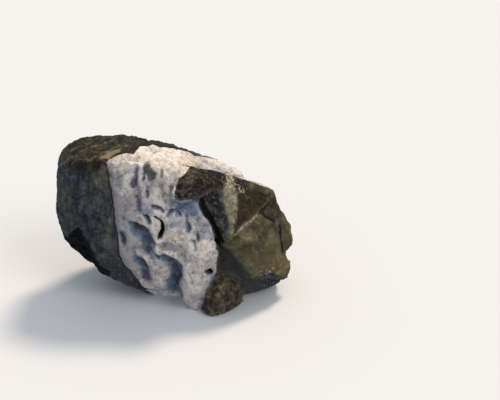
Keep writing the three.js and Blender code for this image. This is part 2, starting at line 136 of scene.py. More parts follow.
# Three numbers from -1 to 1 for each cell, always the same for the same cell.
def cellNumbers(centres):
    mixer = np.array([[12.9, 39.3, 73.2], [78.2, 11.1, 52.2], [37.7, 83.2, 9.15]])
    scatter = 43758.5
    return 2 * np.modf(np.abs(np.sin(centres @ mixer)) * scatter)[0] - 1


# How far places are from a line of points in a plane, whether they lie to the right of it or
# above it, and how far along it they are, from 0 to 1. Lines are drawn downwards or from left to
# right.
def distanceToLine(across, up, line):
    nearest = np.full(len(across), np.inf)
    beyond = np.zeros(len(across), dtype=bool)
    way = np.zeros(len(across))
    for n, ((ax, az), (bx, bz)) in enumerate(zip(line, line[1:])):
        dx, dz = bx - ax, bz - az
        along = np.clip(((across - ax) * dx + (up - az) * dz) / (dx * dx + dz * dz), 0, 1)
        gap = np.hypot(across - ax - along * dx, up - az - along * dz)
        closer = gap < nearest
        nearest = np.where(closer, gap, nearest)
        beyond = np.where(closer, dx * (up - az) > dz * (across - ax), beyond)
        way = np.where(closer, (n + along) / (len(line) - 1), way)
    return nearest, beyond, way


# How far points are from a line that is drawn in the front view.
def fromFrontLine(points, line):
    return distanceToLine(points[:, 0], points[:, 2], line)[0]


# The distance to a closed outline in the front view, above zero inside it.
def insideOutline(points, outline):
    x, z = points[:, 0], points[:, 2]
    closed = outline + outline[:1]
    inside = np.zeros(len(points), dtype=bool)
    for (ax, az), (bx, bz) in zip(closed, closed[1:]):
        if az != bz:
            crosses = (az > z) != (bz > z)
            inside ^= crosses & (x < ax + (z - az) * (bx - ax) / (bz - az))
    nearest = fromFrontLine(points, closed)
    return np.where(inside, nearest, -nearest)


chalkBand = {
    # x, y, z of the crack along its left edge, from the foot up
    "crack": [
        (-23, -29, 1), (-26, -30, 6), (-28, -35, 12), (-32, -40, 20), (-39, -48, 38),
        (-43, -49, 52), (-44, -50, 70), (-46, -48, 94), (-49, -44, 132),
    ],
    "layerNormal": (-0.68, 0.73),  # x and y across the layers of the dark rock, away from the band
    # x, y of its back edge seen from above, counted from the crack
    "backEdge": [
        (-40, -40), (0, 0), (10, 7), (20, 6), (24, 16), (35, 22), (49, 25), (58, 40), (71, 50),
        (94, 62), (120, 70), (160, 72),
    ],
    "rim": 126,  # z of its top edge, which is worn round
    "swell": 0.8,  # soft unevenness of its surface
    "swellSize": 9,
    "knobSize": 9.5,
    "knobHeight": 2.4,
    "creaseWidth": 0.2,  # the creases between the knobs, counted in knobs
    "creaseDepth": 0.22,
    "knobTop": (114, 124),  # z over which the knobs grow towards the top
    "knobBack": (6, -8),  # y over which they grow towards the front
    "knobTail": (-30, -6),  # how far to the left (counted from x = 0) they begin and are whole
    "pitSize": 3.4,
    "pitDepth": 0.5,
    "pitEdge": 0.2,
    "pitSpread": 0.24,  # how much the pits differ from one to the next
    "pitDrift": 0.4,  # and from place to place
    "pitDriftSize": 12,
}

oliveRock = {
    # x, z of its edge in the front view: the nose, the crevice, the toe and round the right end
    "outline": [
        (15, 122), (11, 121), (7, 119), (5, 115), (4, 111), (4, 107), (8, 104), (13, 105),
        (18, 105), (23, 100), (24, 94), (25, 89), (27, 85), (30, 81), (33, 75), (35, 69),
        (37, 64), (38, 60), (37, 55), (36, 48), (36, 37), (33, 28), (28, 21), (26, 14),
        (24, 7), (21, -10), (140, -10), (140, 170), (15, 170),
    ],
    # x, y of its back edge, seen from above
    "rim": [(-10, -34), (15, -26), (23, -18), (47, -14), (63, -14), (76, -9), (88, -3), (110, 12)],
    "rimLean": 0.15,
    # x, z of the lump low in the middle, which is broken into flat faces
    "lump": [
        (33, 36), (47, 31), (54, 24), (56, 15), (58, 8), (60, -10), (21, -10), (24, 7),
        (26, 14), (29, 21), (32, 28),
    ],
    "lumpFaces": (11, 0.2, 0.8),  # how far apart, how tilted and how far stepped
}


# Where points are seen from above, counted from the crack at their height.
def fromCrack(points):
    x, y, z = zip(*chalkBand["crack"])
    across = points[:, 0] - np.interp(points[:, 2], z, x)
    back = points[:, 1] - np.interp(points[:, 2], z, y)
    return across, back


# How far points lie beyond the crack, across the layers of the dark rock.
def beyondCrack(points):
    across, back = fromCrack(points)
    return chalkBand["layerNormal"][0] * across + chalkBand["layerNormal"][1] * back


# How far points lie in front of the chalk's back edge.
def insideBackEdge(points):
    nearest, behind, _ = distanceToLine(*fromCrack(points), chalkBand["backEdge"])
    return np.where(behind, -nearest, nearest)


# How far points lie inside the olive rock.
def insideOlive(points):
    rimX, rimY = zip(*oliveRock["rim"])
    inFront = np.interp(points[:, 0], rimX, rimY) - points[:, 1]
    inFront += oliveRock["rimLean"] * (100 - points[:, 2])
    return np.minimum(insideOutline(points, oliveRock["outline"]), inFront)


def insideChalk(points):
    return np.minimum(insideBackEdge(points), -insideOlive(points))


# Cuts in the front of the chalk. Each follows a line of x, z points, reaches so far to its left
# or lower side and to its right or upper side, and is so deep. A depth below zero is a ridge.
# Ends say how much of the reach and depth is left at the start and end of the line, and a high
# wall number makes a flat floor with steep walls.
chalkCuts = [
    # flutes below the top edge
    {
        "line": [(-25, 128), (-26, 121), (-27, 115)],
        "reach": (6, 1.6), "deep": 2.4, "ends": (0.5, 1),
    },
    {"line": [(-24, 110), (-24, 102), (-22, 93)], "reach": (7, 4), "deep": 0.9, "ends": (0.7, 0.7)},
    {"line": [(-20, 127), (-20, 119)], "reach": (3, 1.4), "deep": 1.4, "ends": (0.4, 1)},
    {"line": [(-18, 113), (-17, 106)], "reach": (3.4, 1.6), "deep": 1.4, "ends": (0.5, 1)},
    {"line": [(3, 108), (3, 102), (2, 98)], "reach": (4, 3), "deep": 0.8},
    # the wavy lip and the shade under it
    {"line": [(-13, 97), (-8, 94.5), (-5, 92.5)], "reach": (4, 0.9), "deep": 2.4, "ends": (1, 0.6)},
    {"line": [(-2, 90.5), (1, 93.5), (4, 93.5), (8, 90)], "reach": (3.6, 0.9), "deep": 2},
    # a small hole, the crooked slit and the finger beside it
    {"line": [(-20, 89), (-18, 86), (-16, 84)], "reach": (3.6, 1.3), "deep": 3},
    {
        "line": [(-12, 88), (-8, 86), (-6, 82), (-6, 77), (-9, 71)],
        "reach": (3, 1.8), "deep": 5, "ends": (0.5, 0.9), "wall": 3,
    },
    {"line": [(-15, 84), (-14, 77), (-10, 67)], "reach": (3, 2.6), "deep": -2.2},
    # the big scoop, steep on its right, and the lip below it
    {"line": [(-23, 79), (-19, 77), (-16, 70), (-14, 64)], "reach": (17, 1.2), "deep": 3.6},
    {"line": [(-15, 60), (-11, 57.5), (-4, 57)], "reach": (2.6, 2.4), "deep": -1.6},
    {"line": [(-16, 57), (-11, 53.5), (-4, 53.5)], "reach": (3.4, 1), "deep": 1.4},
    # hollows near the crack
    {"line": [(-40, 72), (-37.5, 65)], "reach": (5, 1.2), "deep": 2.8, "ends": (0.5, 1)},
    {"line": [(-25, 47), (-21, 38), (-19, 28)], "reach": (11, 2.6), "deep": 2.2, "ends": (1, 0.7)},
    # the long hollow beside the toe and the flap in it
    {
        "line": [(-5, 56), (3, 51), (7.5, 46), (7.5, 36), (3, 24), (2, 13)],
        "reach": (15, 1.3), "deep": 3.8, "ends": (0.6, 0.9),
    },
    {"line": [(2, 30), (4, 22), (8, 13)], "reach": (3, 1), "deep": 1.6},
    # short flutes on the right, and the hole in the toe
    {"line": [(13, 88), (15, 77)], "reach": (5, 1.3), "deep": 1.8, "ends": (0.4, 1)},
    {"line": [(21, 75), (22, 69)], "reach": (3, 1), "deep": 1.4, "ends": (0.4, 1)},
    {"line": [(18, 67), (20, 61)], "reach": (5, 1.5), "deep": 1},
    {"line": [(20, 54), (19, 40)], "reach": (4, 3), "deep": 0.8},
    {"line": [(29.5, 41), (31.5, 38)], "reach": (2.6, 2), "deep": 4.5, "wall": 3},
]
chalkFront = (24, 36)  # how far forward of y = 0 these cuts begin and are whole

# Cracks, edges and the gap round the foot in the front of the olive rock, given in the same way.
oliveCuts = [
    {"line": [(24, 93), (28, 85), (32, 78), (37, 70), (40, 64)], "reach": (2.4, 3), "deep": 3},
    {"line": [(52, 95), (51, 86), (49, 79), (47, 69)], "reach": (6, 3), "deep": -1.1},
    {"line": [(51, 71), (61, 75), (70, 78)], "reach": (0.9, 0.9), "deep": 0.5},
    {"line": [(70, 78), (75, 80), (79, 84), (80, 88)], "reach": (2.2, 1), "deep": 1.6},
    {"line": [(73, 78), (79, 73), (84, 68)], "reach": (1.6, 0.9), "deep": 0.6},
    {"line": [(88, 63), (89, 51), (91, 38)], "reach": (1, 1.4), "deep": 0.7},
    {"line": [(39, 34), (49, 32), (58, 32), (67, 28)], "reach": (2.4, 1.6), "deep": -0.8},
    {"line": [(33, 38), (45, 32), (54, 25), (57, 14)], "reach": (1.4, 1.4), "deep": 1.6},
    {"line": [(68, 31), (79, 30), (88, 22)], "reach": (2, 1), "deep": 1},
]
oliveFront = (-2, 4)

cutShape = {
    "wander": 0.6,  # how far the lines stray from their points
    "wanderSize": 6,
    "widthChange": 0.25,  # how much a cut swells and narrows along its line
    "widthSize": 9,
    "edge": 1.5,  # how softly a cut runs out at its reach
    # a cut with a right reach under this share of its left has a steep wall there, painted in shade
    "steepSide": 0.45,
    # painted shade: the wall of a deep enough cut is darkened in full
    "wallShadeDepth": 2.5,  # how deep a cut is when its wall is whole
}


# At each point: how deep the cuts go, how far it is inside a narrow one, and how near to the
# steep wall of one. The last two only mark painted shade.
def cutDepth(points, cuts, front):
    depth = np.zeros(len(points))
    narrow = np.zeros(len(points))
    wall = np.zeros(len(points))
    flat = points * (1, 0, 1)
    x = points[:, 0] + cutShape["wander"] * softNoise(flat, cutShape["wanderSize"], 31)
    z = points[:, 2] + cutShape["wander"] * softNoise(flat, cutShape["wanderSize"], 32)
    width = 1 + cutShape["widthChange"] * softNoise(flat, cutShape["widthSize"], 33)
    for cut in cuts:
        nearest, beyond, way = distanceToLine(x, z, cut["line"])
        start, end = cut.get("ends", (1, 1))
        left, right = cut["reach"]
        size = width * (start + (end - start) * way)
        gap = nearest / (size * np.where(beyond, right, left))
        shape = (1 - np.clip(gap, 0, 1) ** cut.get("wall", 2)) ** cutShape["edge"]
        depth += cut["deep"] * size * shape
        if "wall" in cut:
            narrow = np.maximum(narrow, shape)
        elif right < cutShape["steepSide"] * left:
            fromWall = np.abs(np.where(beyond, nearest, -nearest) - 0.5 * right)
            near = 1 - smoothStep(fromWall, 0, 0.5 * right + 1)
            whole = np.clip(cut["deep"] / cutShape["wallShadeDepth"], 0, 1)
            wall = np.maximum(wall, near * whole * size)
    inFront = smoothStep(-points[:, 1], *front)
    return depth * inFront, narrow * inFront, np.clip(wall, 0, 1) * inFront


darkRock = {
    "swell": 0.55,  # soft unevenness of its surface
    "swellSize": 8,
    "ledgeSpacing": 7,
    "ledgeHeight": 0.45,
    "ledgeRise": 0.8,  # the share of a ledge over which it rises, and over which it drops
    "ledgeDrop": 0.2,
    "ledgeLeast": 0.5,  # the share of its height that every ledge has
    "ledgeWander": 2.2,  # how far the ledges bend, and over what length
    "ledgeWanderSize": 26,
    "ledgeDrift": 1.3,  # by how many ledges they shift, and over what length
    "ledgeDriftSize": 60,
    "ledgeTop": (112, 126),  # z over which the ledges and shells grow towards the top
    "ledgeBack": (-6, 14),  # y over which the ledges grow towards the back
    "ledgesBehind": 2,  # how strong the ledges are on the back, and on the front
    "ledgesInFront": 0.1,
    # x, y of the edges of shells on its top, seen from above
    "shells": [
        [(-79, -36), (-64, -42), (-59, -41), (-52, -31), (-43, -17), (-35, 2), (-18, 22)],
        [(-88, -30), (-83, -27), (-75, -25), (-66, -23), (-55, -17), (-46, 3), (-28, 27)],
        [(-90, -18), (-78, -13), (-67, -9), (-58, 4), (-40, 30)],
    ],
    "shellHeight": 0.8,
    "shellEdge": (-0.5, 0.7),  # how far before and past its line a shell rises
    "shellRun": (2, 10),  # how far past its line a shell starts to run out and is gone
    "shellWander": 1.6,
    "shellWanderSize": 7,
    # x, z of the break low on its left, painted near black as shade
    "notch": [
        (-76, 72), (-71, 62), (-64, 51), (-60, 38), (-52, 30), (-56, 14), (-80, 14), (-100, 42),
        (-88, 54), (-84, 62),
    ],
    "faceSize": 17,  # broken faces: how far apart, how tilted and how far stepped
    "faceTilt": 0.075,
    "faceStep": 0.45,
    "chipSize": 5.5,
    "chipTilt": 0.1,
    "chipStep": 0.2,
    "faceBend": 0.18,  # how far the edges of faces and chips bend, as a share of their size
    "grain": 1.4,  # how many times rougher than the chalk
    "streakLean": (0.95, 0.3),  # x and z across the fine streaks on its front
    "streakWidth": 1.8,
    "streakLength": 12,
    "streakReach": 9,  # how deep into the stone a streak goes
    "streakDepth": 0.26,
}


# Broken faces: every cell of the rock is a little tilted and set back by its own amount.
def brokenFaces(points, size, tilt, step, seed):
    wander = np.stack([softNoise(points, size, seed + n) for n in range(3)], axis=1)
    bent = points + darkRock["faceBend"] * size * wander
    _, _, centres = cells(bent, size, seed)
    numbers = cellNumbers(centres)
    fromCentre = bent / size + seed * cellSeedStep - centres
    return size * tilt * np.sum(fromCentre * numbers, axis=1) + step * numbers[:, 0]


# Rounded knobs over the top edge of the chalk, with creases between them.
def knobs(points):
    nearest, second, _ = cells(points, chalkBand["knobSize"], 6)
    top = smoothStep(points[:, 2], *chalkBand["knobTop"])
    front = smoothStep(-points[:, 1], -chalkBand["knobBack"][0], -chalkBand["knobBack"][1])
    beforeTail = smoothStep(-points[:, 0], *chalkBand["knobTail"])
    creaseWidth = chalkBand["creaseWidth"]
    crease = smoothStep(creaseWidth - (second - nearest), 0, creaseWidth)
    height = 0.5 - nearest - chalkBand["creaseDepth"] * crease
    return chalkBand["knobHeight"] * top * front * beforeTail * height


# Small ledges where the layers of the dark rock end, strong on its top and back.
def ledges(points):
    wander = darkRock["ledgeWander"] * softNoise(points, darkRock["ledgeWanderSize"], 5)
    drift = darkRock["ledgeDrift"] * softNoise(points, darkRock["ledgeDriftSize"], 6)
    place = (beyondCrack(points) + wander) / darkRock["ledgeSpacing"] + drift
    part = place - np.floor(place)
    rise, drop = darkRock["ledgeRise"], darkRock["ledgeDrop"]
    climb = np.where(part < rise, part / rise, (1 - part) / drop) - 0.5
    top = smoothStep(points[:, 2], *darkRock["ledgeTop"])
    back = smoothStep(points[:, 1], *darkRock["ledgeBack"])
    strength = np.maximum(top, darkRock["ledgesBehind"] * back)
    strength = np.maximum(strength, darkRock["ledgesInFront"])
    height = darkRock["ledgeLeast"] + np.abs(softNoise(points, 14, 7))
    return darkRock["ledgeHeight"] * strength * climb * height


# Shells of rock over the top, each ending in a low step.
def shells(points):
    top = smoothStep(points[:, 2], *darkRock["ledgeTop"])
    wander = darkRock["shellWander"] * softNoise(points, darkRock["shellWanderSize"], 34)
    height = np.zeros(len(points))
    for line in darkRock["shells"]:
        nearest, beyond, _ = distanceToLine(points[:, 0] + wander, points[:, 1] + wander, line)
        past = smoothStep(np.where(beyond, nearest, -nearest), *darkRock["shellEdge"])
        height += past * (1 - smoothStep(nearest, *darkRock["shellRun"]))
    return darkRock["shellHeight"] * height * top


def streaks(points):
    leanX, leanZ = darkRock["streakLean"]
    across = (leanX * points[:, 0] + leanZ * points[:, 2]) / darkRock["streakWidth"]
    along = (leanX * points[:, 2] - leanZ * points[:, 0]) / darkRock["streakLength"]
    inward = points[:, 1] / darkRock["streakReach"]
    return softNoise(np.stack([across, inward, along], axis=1), 1, 8)


stoneMesh = {
    "voxel": 0.8,
    "fineVoxel": 0.72,
    "triangles": 188000,
    "relaxRounds": 9,
    "relaxDark": 0.35,  # how much the dark and olive rock relax, when the chalk is 1
    "relaxFine": 0.8,
    "rimRounds": 45,  # how much the top edge of the chalk is worn round, and how wide
    "rimWidth": 9,
    "rimShare": 0.7,
    "foot": (0.3, 3),  # z over which the relief grows from none at the floor
    "grain": 0.16,
    "grainSize": 2.4,
}

# The stone starts as a fine, even mesh of the frame's solid.
stone = bpy.data.objects.new("leopardStone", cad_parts["stone"].data.copy())
bpy.context.collection.objects.link(stone)
bakeModifier(stone, "REMESH", mode="VOXEL", voxel_size=stoneMesh["voxel"] * millimetre)
points = readPoints(stone.data)
edges = readEdges(stone.data)
chalk = smoothStep(insideChalk(points), -1, 2)
amount = stoneMesh["relaxDark"] + (1 - stoneMesh["relaxDark"]) * chalk
points = relax(points, edges, amount, stoneMesh["relaxRounds"])
rim = np.exp(-((points[:, 2] - chalkBand["rim"]) / stoneMesh["rimWidth"]) ** 2) * chalk
points = roundOff(points, edges, stoneMesh["rimShare"] * rim[:, None], stoneMesh["rimRounds"])
print("stone remeshed:", len(points), "points")

# Large relief, pushed along the normals, and the cuts, pushed straight into the front.
writePoints(stone.data, points)
normals = readNormals(stone.data)
offFloor = smoothStep(points[:, 2], *stoneMesh["foot"])
faces = brokenFaces(points, darkRock["faceSize"], darkRock["faceTilt"], darkRock["faceStep"], 1)
dark = smoothStep(-insideBackEdge(points), -1, 2)
swell = chalkBand["swell"] * softNoise(points, chalkBand["swellSize"], 2) + knobs(points)
layered = dark * smoothStep(-insideOutline(points, darkRock["notch"]), -1, 3)
relief = (1 - chalk) * faces + chalk * swell + layered * (shells(points) - ledges(points))
relief += dark * darkRock["swell"] * softNoise(points, darkRock["swellSize"], 35)
onLump = smoothStep(insideOutline(points, oliveRock["lump"]), -2, 2) * (1 - chalk) * (1 - dark)
relief += onLump * brokenFaces(points, *oliveRock["lumpFaces"], 5)
chalkDepth = cutDepth(points, chalkCuts, chalkFront)[0]
oliveDepth = cutDepth(points, oliveCuts, oliveFront)[0]
olive = smoothStep(insideOlive(points), -1, 1)
points += normals * (relief * offFloor)[:, None]
points[:, 1] += chalkDepth * chalk + oliveDepth * olive  # the foot stays flat
writePoints(stone.data, points)
print("large relief done")

# A second even mesh, so the steep walls of the cuts have as many points as the rest.
bakeModifier(stone, "REMESH", mode="VOXEL", voxel_size=stoneMesh["fineVoxel"] * millimetre)
points = readPoints(stone.data)
edges = readEdges(stone.data)
points = relax(points, edges, stoneMesh["relaxFine"], 1)
writePoints(stone.data, points)
normals = readNormals(stone.data)
offFloor = smoothStep(points[:, 2], *stoneMesh["foot"])
chalk = smoothStep(insideChalk(points), -0.6, 0.6)
dark = smoothStep(-insideBackEdge(points), -0.5, 0.5)
chips = brokenFaces(points, darkRock["chipSize"], darkRock["chipTilt"], darkRock["chipStep"], 3)
grain = stoneMesh["grain"] * softNoise(points, stoneMesh["grainSize"], 4, 3)
nearest, _, centres = cells(points, chalkBand["pitSize"], 9)
pitSize = chalkBand["pitSpread"] * cellNumbers(centres)[:, 0]
pitSize += chalkBand["pitDrift"] * softNoise(points, chalkBand["pitDriftSize"], 10)
pits = chalkBand["pitDepth"] * smoothStep(pitSize - nearest, 0, chalkBand["pitEdge"])
relief = (1 - chalk) * (chips + darkRock["grain"] * grain) + chalk * (grain - pits)
outsideNotch = smoothStep(-insideOutline(points, darkRock["notch"]), -0.5, 1)
relief += dark * outsideNotch * darkRock["streakDepth"] * streaks(points)
points += normals * (relief * offFloor)[:, None]
points[:, 2] = np.maximum(points[:, 2], 0)
writePoints(stone.data, points)
triangles = 2 * len(stone.data.polygons)
bakeModifier(stone, "DECIMATE", ratio=stoneMesh["triangles"] / triangles)
print("fine relief done:", len(stone.data.polygons), "triangles")

# Places on the stone that get a colour of their own, as outlines in the front view. Some only
# paint light: the bay, the dark face, the under face and the notch get painted shade, and the
# narrow facet a painted highlight.
patches = {
    "brow": [
        (3, 105), (2, 112), (6, 122), (14, 130), (30, 130), (50, 123), (66, 114), (72, 104),
        (68, 98), (54, 99), (44, 105), (40, 104), (31, 107), (23, 106), (18, 106), (11, 103),
    ],
    "leftFace": [
        (22, 106), (31, 108), (41, 104), (42, 96), (43, 88), (47, 83), (48, 75), (45, 69),
        (40, 66), (33, 79), (26, 89), (23, 96),
    ],
    # painted shade on the small facet by the right crack
    "darkFace": [
        (71, 78), (76, 81), (79, 86), (84, 84), (90, 76), (90, 68), (84, 69), (77, 73),
    ],
    # painted shade below the overhang
    "underFace": [
        (42, 65), (47, 59), (54, 51), (60, 42), (67, 33), (75, 32), (82, 31), (88, 23),
        (94, 19), (100, 10), (100, -10), (58, -10), (58, 5), (56, 15), (54, 24), (47, 31),
        (35, 35), (35, 48), (36, 55),
    ],
    "brokenEdge": [
        (75, 31), (82, 30), (88, 23), (94, 19), (100, 12), (88, 2), (78, 6), (73, 15), (70, 24),
    ],
    "lump": oliveRock["lump"],
    "mainFacet": [
        (50, 98), (60, 99), (72, 97), (80, 88), (78, 84), (70, 79), (61, 76), (51, 72), (49, 80),
        (51, 88),
    ],
    # painted highlight on this lit facet
    "narrowFacet": [
        (43, 106), (49, 106), (53, 97), (53, 88), (51, 79), (48, 69), (46, 73), (47, 80), (45, 88),
        (43, 97),
    ],
    # painted shadow of the nose on the chalk below it
    "bay": [
        (3, 108), (8, 105), (17, 105), (22, 104), (23, 99), (25, 90), (31, 80), (37, 70),
        (36, 66), (29, 73), (24, 80), (17, 86), (11, 91), (5, 95),
    ],
    "notch": darkRock["notch"],
    "shinyFoot": [(-60, 44), (-44, 55), (-36, 28), (-26, 2), (-50, 0), (-66, 14)],
}
# y behind which an outline or a line counts no more
patchDepth = {"brow": 20, "darkFace": 0, "mainFacet": 0, "notch": 0}
commonDepth = -4
lineDepth = -6

# Lines drawn in the front view, along which the colour changes.
lines = {
    "vein": [[(51, 71), (55, 73), (61, 75), (66, 77), (70, 78)]],
    "darkCracks": [
        [(70, 78), (75, 80), (79, 84), (80, 88)], [(88, 63), (89, 51), (91, 38)],
        [(73, 78), (79, 73), (84, 68)],
    ],
    "crevice": [
        [(24, 96), (26, 91), (30, 84), (34, 77), (38, 70), (41, 65)],
        [(36, 71), (38, 66), (38, 61)],
    ],
    "paleEdges": [
        [(44, 108), (46, 106), (50, 104), (55, 101), (58, 97)], [(51, 98), (51, 92)],
        [(68, 32), (75, 32), (81, 32)], [(33, 5), (38, 2), (41, 3)],
    ],
    "shade": [
        [(34, 34), (31, 22), (26, 12), (22, 5)], [(3, 20), (6, 8), (12, 3)],
        [(6, 104), (12, 102), (18, 104)],
        [(-20, 72), (-14, 66)],
        [(7, 46), (7, 36), (3, 24), (1, 14)],
    ],
    "stains": [[(-18, 127), (-14, 122)]],
    "smallStain": [[(-6, 126), (-6, 122)]],
    "litChalk": [
        [(-14, 84), (-13, 76), (-10, 68)], [(-14, 60), (-6, 58)], [(16, 66), (26, 62)],
        [(18, 52), (17, 38), (15, 18), (14, 6)], [(-2, 126), (-6, 112), (-7, 94)],
        [(-33, 126), (-35, 108)],
        [(-4, 72), (8, 72)],
    ],
}

# Lines drawn on the top of the stone, seen from above.
topLines = {
    "shellEdges": darkRock["shells"],
    "tanBand": [[(-53, -43), (-47, -32), (-39, -20), (-31, -6)], [(-8, -8), (6, -4), (18, 2)]],
    "saddle": [[(-38, -22), (-36, -33), (-28, -28)]],
}

# How far the stone stands out from a rounded copy of itself: few rounds show fine edges and
# creases, and many show broad swells.
standingOut = {"ridge": 8, "swollen": 70}
standingShare = 0.7

# Each of these fields goes to the shader as an attribute of the mesh, in millimetres.
points = readPoints(stone.data)
edges = readEdges(stone.data)
normals = readNormals(stone.data)
fields = {}
for name, outline in patches.items():
    inFront = patchDepth.get(name, commonDepth) - points[:, 1]
    fields[name] = np.minimum(insideOutline(points, outline), inFront)
for name, group in lines.items():
    nearest = np.min([fromFrontLine(points, line) for line in group], axis=0)
    fields[name] = np.maximum(nearest, points[:, 1] - lineDepth)
for name, group in topLines.items():
    nearest = [distanceToLine(points[:, 0], points[:, 1], line)[0] for line in group]
    fields[name] = np.min(nearest, axis=0)
fields["chalk"] = insideChalk(points)
fields["olive"] = insideOlive(points)
fields["backEdge"] = insideBackEdge(points)
fields["layer"] = beyondCrack(points)
fields["hollow"], fields["narrow"], fields["wall"] = cutDepth(points, chalkCuts, chalkFront)
plain = points
for name, rounds in standingOut.items():
    plain = roundOff(plain, edges, standingShare, rounds)
    fields[name] = np.sum((points - plain) * normals, axis=1)
for name, values in fields.items():
    attribute = stone.data.attributes.new(name, "FLOAT", "POINT")
    attribute.data.foreach_set("value", values.astype(np.float32))
print("fields written:", ", ".join(fields))


# Links a socket or sets it, whichever the value is.
def join(tree, target, value):
    if isinstance(value, Value):
        tree.links.new(value.socket, target)
    else:
        target.default_value = value


# A number socket with arithmetic: its operators add Math nodes.
class Value:
    def __init__(self, tree, socket):
        self.tree = tree
        self.socket = socket

    def math(self, operation, *others):
        made = self.tree.nodes.new("ShaderNodeMath")
        made.operation = operation
        for target, value in zip(made.inputs, (self, *others)):
            join(self.tree, target, value)
        return Value(self.tree, made.outputs[0])

    def __add__(self, other):
        return self.math("ADD", other)

    def __sub__(self, other):
        return self.math("SUBTRACT", other)

    def __mul__(self, other):
        return self.math("MULTIPLY", other)

    def __abs__(self):
        return self.math("ABSOLUTE")

    def __rsub__(self, other):
        return self * -1 + other

    __radd__ = __add__
    __rmul__ = __mul__


# Turns a colour of 0 to 255 into the light values that shaders use.
def rgb(red, green, blue):
    light = [((part / 255 + 0.055) / 1.055) ** 2.4 for part in (red, green, blue)]
    return (*light, 1)


class Nodes:
    def __init__(self, tree, shader):
        self.tree = tree
        self.shader = tree.nodes[shader]

    # Adds any node: its settings first, then the values or links of its sockets.
    def node(self, kind, settings, sockets, output=0):
        made = self.tree.nodes.new("ShaderNode" + kind)
        for name, value in settings.items():
            if name == "stops":
                stops = made.color_ramp.elements
                while len(stops) < len(value):
                    stops.new(1)
                for stop, (position, colour) in zip(stops, value):
                    stop.position = position
                    stop.color = colour
            else:
                setattr(made, name, value)
        for name, value in sockets.items():
            join(self.tree, made.inputs[name], value)
        return Value(self.tree, made.outputs[output])

    def field(self, name):
        return self.node("Attribute", {"attribute_name": name}, {}, "Fac")

    # Cloudy noise from 0 to 1 with lumps of this size in millimetres. Each seed gives another
    # pattern.
    def clouds(self, size, seed, detail=3, rough=0.55, place=None, bend=0):
        sockets = {
            "Vector": place or self.place, "W": seed, "Scale": 1 / size, "Detail": detail,
            "Roughness": rough, "Distortion": bend,
        }
        return self.node("TexNoise", {"noise_dimensions": "4D"}, sockets)

    # Goes from 0 to 1 as the value goes from low to high.
    def fade(self, value, low, high):
        sockets = {0: value, "From Min": low, "From Max": high}
        return self.node("MapRange", {"interpolation_type": "SMOOTHSTEP"}, sockets)

    def mix(self, share, first, second, blend="MIX"):
        settings = {"data_type": "RGBA", "blend_type": blend}
        return self.node("Mix", settings, {0: share, 6: first, 7: second}, 2)

    def ramp(self, value, stops):
        return self.node("ValToRGB", {"stops": stops}, {0: value}, "Color")

    def stretched(self, turn, size):
        sockets = {"Vector": self.place, "Rotation": turn, "Scale": size}
        return self.node("Mapping", {}, sockets)

    def set(self, name, value):
        join(self.tree, self.shader.inputs[name], value)


class Finish(Nodes):
    def __init__(self, name):
        self.material = bpy.data.materials.new(name)
        self.material.use_nodes = True
        super().__init__(self.material.node_tree, "Principled BSDF")
        place = self.node("TexCoord", {}, {}, "Object")
        sockets = {0: place, "Scale": 1 / millimetre}
        self.place = self.node("VectorMath", {"operation": "SCALE"}, sockets)


rock = Finish("leopardStone")

grainy = rock.clouds(1.4, 1, 4, 0.65)
patchy = rock.clouds(9, 2, 4, 0.6)
broad = rock.clouds(28, 3, 3, 0.5)
specks = rock.clouds(0.9, 4, 2, 0.6)
mottle = rock.clouds(6, 11, 6, 0.68, bend=0.6)
ridge = rock.field("ridge")
swollen = rock.field("swollen")
across = rock.node("SeparateXYZ", {}, {0: rock.place}, "X")
back = rock.node("SeparateXYZ", {}, {0: rock.place}, "Y")
height = rock.node("SeparateXYZ", {}, {0: rock.place}, "Z")
onTop = rock.fade(height + 10 * (broad - 0.5), 116, 127)

chalkColours = {
    "white": rgb(242, 233, 222),
    "bone": rgb(204, 196, 190),
    "tan": rgb(190, 162, 140),
    "ochre": rgb(200, 172, 134),
    "grey": rgb(142, 143, 150),
    # painted shade: the blue-grey of the hollows and shaded places
    "blue": rgb(112, 134, 162),
    # brown dirt in the pits, also used as painted shade in the creases
    "dirtAndShade": rgb(84, 70, 62),
    # painted shade on the steep walls of the cuts
    "wall": rgb(48, 50, 60),
    "slit": rgb(24, 24, 28),
    "stainDark": rgb(44, 40, 36),
    "stainPale": rgb(126, 116, 104),
    "stainBrown": rgb(104, 88, 74),
}
chalkShares = {  # how much of each colour there is at most
    "grey": 0.65, "tan": 0.6, "ochre": 0.75, "blue": 0.85, "pits": 0.5, "creases": 0.5,
    "wall": 0.8, "stain": 0.9, "stainBrown": 0.8,
}

# chalk: white where it stands out and on its top, with painted light along the litChalk lines;
# painted blue-grey shade in the hollows; brown dirt in the pits and painted shade in the creases
# painted light: along these lines the chalk is whiter and has less grey, blue and dirt
litChalk = 1 - rock.fade(rock.field("litChalk") + 6 * (patchy - 0.5), 0, 8)
raisedOrLit = rock.fade(patchy + 0.3 * swollen + 0.7 * litChalk + 0.45 * onTop, 0.4, 0.8)
chalk = rock.mix(raisedOrLit, chalkColours["bone"], chalkColours["white"])
# grey mottling, heavier on the flank beside the crack as painted shade, lighter on top and under
# painted light
flank = 1 - rock.fade(across, -34, -20)  # the flat part beside the crack
greyish = rock.clouds(5, 5, 5, 0.7) - 0.3 * litChalk + 0.2 * flank - 0.14 * onTop
greyish = rock.fade(greyish, 0.46, 0.62)
chalk = rock.mix(greyish * chalkShares["grey"], chalk, chalkColours["grey"])
tanned = rock.fade(rock.clouds(3, 7, 5, 0.7) + 0.3 * broad, 0.6, 0.76)
chalk = rock.mix(tanned * chalkShares["tan"], chalk, chalkColours["tan"])
tail = rock.fade(across + 14 * (patchy - 0.5), 2, 26) * onTop
chalk = rock.mix(tail * chalkShares["ochre"], chalk, chalkColours["ochre"])
